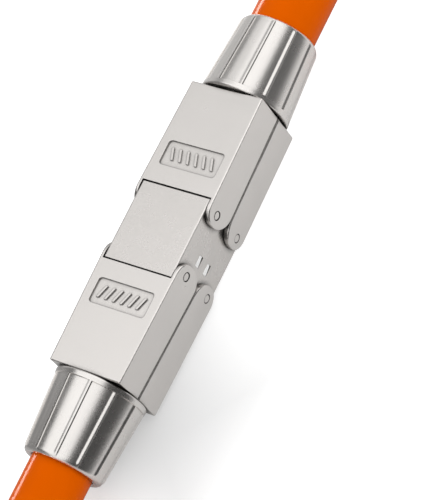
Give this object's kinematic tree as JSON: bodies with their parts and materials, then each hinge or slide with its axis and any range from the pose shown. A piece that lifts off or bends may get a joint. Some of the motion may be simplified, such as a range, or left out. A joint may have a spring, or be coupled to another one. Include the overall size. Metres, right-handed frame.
{
  "type": "inline data cable coupler",
  "caption": "Slim metal inline coupler with hinged half-shells and a ribbed screw nut on each end, joining two thick screened data cables end to end.",
  "frame": {"origin": "centre of the coupler body on the cable axis", "axes": "+X along the cable axis towards end b, +Z out of the upper half-shells' flat faces, +Y to the back"},
  "size_m": [0.2, 0.0138, 0.0138],
  "materials": {
    "shell_metal": "satin nickel plate on die-cast zinc, fine grain",
    "frame_metal": "satin nickel plate, faintly brushed",
    "pin_metal": "satin nickel plate",
    "nut_metal": "bright nickel plate over brass, softly polished",
    "shield_metal": "tin plate",
    "contact_metal": "gold flash on bronze",
    "carrier_plastic": "white moulded plastic",
    "presser_plastic": "white moulded plastic",
    "ring_plastic": "dark slippery plastic",
    "cable_jacket": "orange halogen-free jacket, slightly glossy",
    "cable_screen": "tinned braid",
    "wire_pair": "aluminium foil over insulated copper"
  },
  "bodies": {
    "coupler": {"centre_frame": "frame_metal", "pair_shield": "shield_metal", "contact_carrier_upper": "carrier_plastic", "contact_strip_upper_1": "contact_metal", "contact_strip_upper_2": "contact_metal", "contact_strip_upper_3": "contact_metal", "contact_strip_upper_4": "contact_metal", "contact_carrier_lower": "carrier_plastic", "contact_strip_lower_1": "contact_metal", "contact_strip_lower_2": "contact_metal", "contact_strip_lower_3": "contact_metal", "contact_strip_lower_4": "contact_metal", "cable_jacket_b": "cable_jacket", "cable_screen_b": "cable_screen", "shell_b_upper": "shell_metal", "wire_presser_b_upper": "presser_plastic", "hinge_pin_b_upper_back": "pin_metal", "wire_pair_b_upper_back": "wire_pair", "hinge_pin_b_upper_front": "pin_metal", "wire_pair_b_upper_front": "wire_pair", "shell_b_lower": "shell_metal", "wire_presser_b_lower": "presser_plastic", "hinge_pin_b_lower_back": "pin_metal", "wire_pair_b_lower_back": "wire_pair", "hinge_pin_b_lower_front": "pin_metal", "wire_pair_b_lower_front": "wire_pair", "cable_jacket_a": "cable_jacket", "cable_screen_a": "cable_screen", "shell_a_upper": "shell_metal", "wire_presser_a_upper": "presser_plastic", "hinge_pin_a_upper_back": "pin_metal", "wire_pair_a_upper_back": "wire_pair", "hinge_pin_a_upper_front": "pin_metal", "wire_pair_a_upper_front": "wire_pair", "shell_a_lower": "shell_metal", "wire_presser_a_lower": "presser_plastic", "hinge_pin_a_lower_back": "pin_metal", "wire_pair_a_lower_back": "wire_pair", "hinge_pin_a_lower_front": "pin_metal", "wire_pair_a_lower_front": "wire_pair"},
    "slip_ring_a_body": {"slip_ring_a": "ring_plastic"},
    "slip_ring_b_body": {"slip_ring_b": "ring_plastic"},
    "cable_nut_a_body": {"cable_nut_a": "nut_metal"},
    "cable_nut_b_body": {"cable_nut_b": "nut_metal"}
  },
  "joints": [
    {"name": "nut_b_travel", "type": "slide", "parent": "coupler", "child": "slip_ring_b_body", "axis": [1, 0, 0], "range_m": [0, 0.0075]},
    {"name": "nut_b_turn", "type": "hinge", "parent": "slip_ring_b_body", "child": "cable_nut_b_body", "pos_m": [0.0288, 0, 0], "axis": [1, 0, 0], "range_deg": [0, 2160]},
    {"name": "nut_a_travel", "type": "slide", "parent": "coupler", "child": "slip_ring_a_body", "axis": [-1, 0, 0], "range_m": [0, 0.0075]},
    {"name": "nut_a_turn", "type": "hinge", "parent": "slip_ring_a_body", "child": "cable_nut_a_body", "pos_m": [-0.0288, 0, 0], "axis": [-1, 0, 0], "range_deg": [0, 2160]}
  ],
  "couplings": [
    {"joint": "nut_b_travel", "follows": "nut_b_turn", "m_per_rad": 0.00019894},
    {"joint": "nut_a_travel", "follows": "nut_a_turn", "m_per_rad": 0.00019894}
  ]
}
